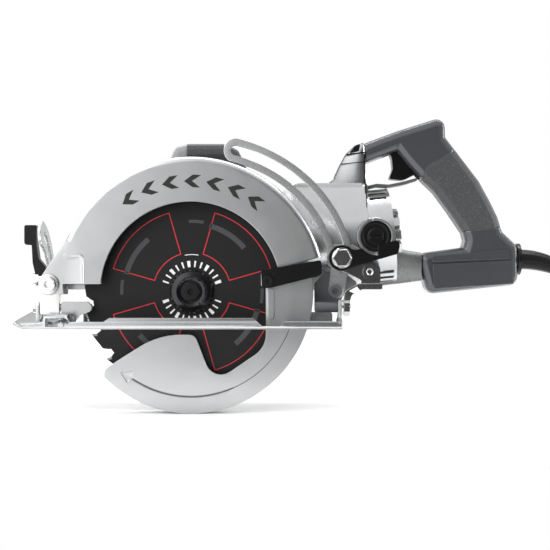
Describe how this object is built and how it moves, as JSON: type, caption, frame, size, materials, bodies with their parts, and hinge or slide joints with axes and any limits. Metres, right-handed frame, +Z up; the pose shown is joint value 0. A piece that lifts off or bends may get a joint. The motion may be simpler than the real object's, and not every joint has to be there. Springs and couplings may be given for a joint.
{
  "type": "worm drive circular saw",
  "caption": "Hand held circular saw with an in-line motor, worm drive, sprung lower guard, tilting foot and depth bracket.",
  "frame": {"origin": "on the sole of the foot, in the middle plane of the blade, straight under the depth pivot", "axes": "+X from the nose of the foot to the rear handle, +Y from the blade to the motor, +Z up from the foot's sole"},
  "size_m": [0.6943, 0.2, 0.2885],
  "materials": {
    "cast_guard": "satin",
    "cast_case": "satin",
    "cast_bell": "satin",
    "black_steel": "satin",
    "lamination": "matte",
    "copper": "satin",
    "black_plastic": "matte",
    "brass": "satin",
    "carbon": "matte",
    "bearing_steel": "polished",
    "handle_plastic": "satin",
    "grip_rubber": "speckled matte",
    "grey_bar": "satin",
    "bright_steel": "bright zinc plate",
    "cord_rubber": "matte",
    "front_plastic": "satin",
    "bronze": "machined",
    "blade_black": "matte coating",
    "washer_black": "glossy",
    "black_lever": "satin",
    "trigger_plastic": "satin",
    "satin_plate": "satin",
    "foot_steel": "brushed"
  },
  "bodies": {
    "saw_body": {"upper_guard": "cast_guard", "gear_housing": "cast_case", "arbor_cover": "cast_case", "oil_plug": "black_steel", "motor_housing": "cast_case", "motor_end_bell": "cast_bell", "field_stator": "lamination", "field_coils": "copper", "brush_caps": "black_plastic", "brush_holders": "brass", "carbon_brushes": "carbon", "armature_bearings": "bearing_steel", "arbor_bearings": "bearing_steel", "rear_handle_left": "handle_plastic", "rear_handle_right": "handle_plastic", "rear_grip_cover": "grip_rubber", "trigger_guard_bar": "grey_bar", "switch_unit": "black_plastic", "trigger_pin": "bright_steel", "cord_clamp": "black_plastic", "cord_collar": "black_plastic", "cord_boot": "cord_rubber", "front_handle": "front_plastic", "front_grip_cover": "grip_rubber", "handle_screws": "bright_steel", "cover_screws": "black_steel", "depth_bolt": "bright_steel", "stop_plate": "bright_steel", "stop_plate_screw": "bright_steel", "guard_retainer": "bright_steel", "guard_spring": "bright_steel", "cord_lead": "cord_rubber", "cord_coil": "cord_rubber", "plug": "cord_rubber"},
    "blade_shaft": {"arbor_shaft": "bearing_steel", "worm_wheel": "bronze", "inner_washer": "black_steel", "blade": "blade_black", "outer_washer": "washer_black", "blade_bolt": "black_steel"},
    "armature": {"armature_shaft": "bearing_steel", "armature_core": "lamination", "commutator": "copper", "cooling_fan": "black_plastic", "worm": "bearing_steel"},
    "lower_guard_body": {"lower_guard": "cast_guard", "guard_lever": "black_lever", "guard_lever_screws": "black_steel"},
    "trigger_body": {"trigger": "trigger_plastic"},
    "depth_lock": {"depth_lever": "black_lever", "depth_lever_nut": "bright_steel"},
    "tilt_frame": {"front_tilt_bracket": "bright_steel", "depth_pivot_bolt": "bright_steel", "rear_tilt_bracket": "grey_bar"},
    "depth_bracket_body": {"depth_bracket": "satin_plate"},
    "foot": {"foot_plate": "foot_steel", "bevel_quadrant": "satin_plate", "bevel_pivot_bolts": "bright_steel"},
    "front_bevel_lock": {"bevel_lever": "black_lever"},
    "rear_bevel_lock": {"rear_bevel_lever": "bright_steel"}
  },
  "joints": [
    {"name": "blade_spin", "type": "hinge", "parent": "saw_body", "child": "blade_shaft", "pos_m": [0.134, 0, 0.0348], "axis": [0, 1, 0], "continuous": true},
    {"name": "armature_spin", "type": "hinge", "parent": "saw_body", "child": "armature", "pos_m": [0.13052, 0.062, 0.07091], "axis": [0.9954, 0, 0.0958], "continuous": true},
    {"name": "guard_swing", "type": "hinge", "parent": "saw_body", "child": "lower_guard_body", "pos_m": [0.134, 0, 0.0348], "axis": [0, -1, 0], "range_deg": [0, 115], "stiffness_Nm_per_rad": 0.12, "springref_deg": -68.75},
    {"name": "trigger_squeeze", "type": "hinge", "parent": "saw_body", "child": "trigger_body", "pos_m": [0.333, 0.062, 0.182], "axis": [0, -1, 0], "range_deg": [0, 10], "stiffness_Nm_per_rad": 0.6, "springref_deg": -5.73},
    {"name": "depth_lever_turn", "type": "hinge", "parent": "saw_body", "child": "depth_lock", "pos_m": [0.278, 0, 0.067], "axis": [0, -1, 0], "range_deg": [0, 45]},
    {"name": "depth_swing", "type": "hinge", "parent": "saw_body", "child": "tilt_frame", "pos_m": [0, 0, 0.042], "axis": [0, 1, 0], "range_deg": [0, 28]},
    {"name": "bracket_swing", "type": "hinge", "parent": "tilt_frame", "child": "depth_bracket_body", "pos_m": [0.272, 0.008, 0.035], "axis": [0, 1, 0], "range_deg": [0, 21]},
    {"name": "bevel_tilt", "type": "hinge", "parent": "tilt_frame", "child": "foot", "pos_m": [0.12, -0.008, 0.02], "axis": [-1, 0, 0], "range_deg": [0, 50]},
    {"name": "front_bevel_lever_turn", "type": "hinge", "parent": "tilt_frame", "child": "front_bevel_lock", "pos_m": [-0.02, 0.05876, 0.04697], "axis": [1, 0, 0], "range_deg": [0, 60]},
    {"name": "rear_bevel_lever_turn", "type": "hinge", "parent": "foot", "child": "rear_bevel_lock", "pos_m": [0.28, -0.008, 0.02], "axis": [1, 0, 0], "range_deg": [0, 60]}
  ],
  "couplings": [
    {"joint": "armature_spin", "follows": "blade_spin", "ratio": 5},
    {"joint": "bracket_swing", "follows": "depth_swing", "ratio": 0.75}
  ]
}
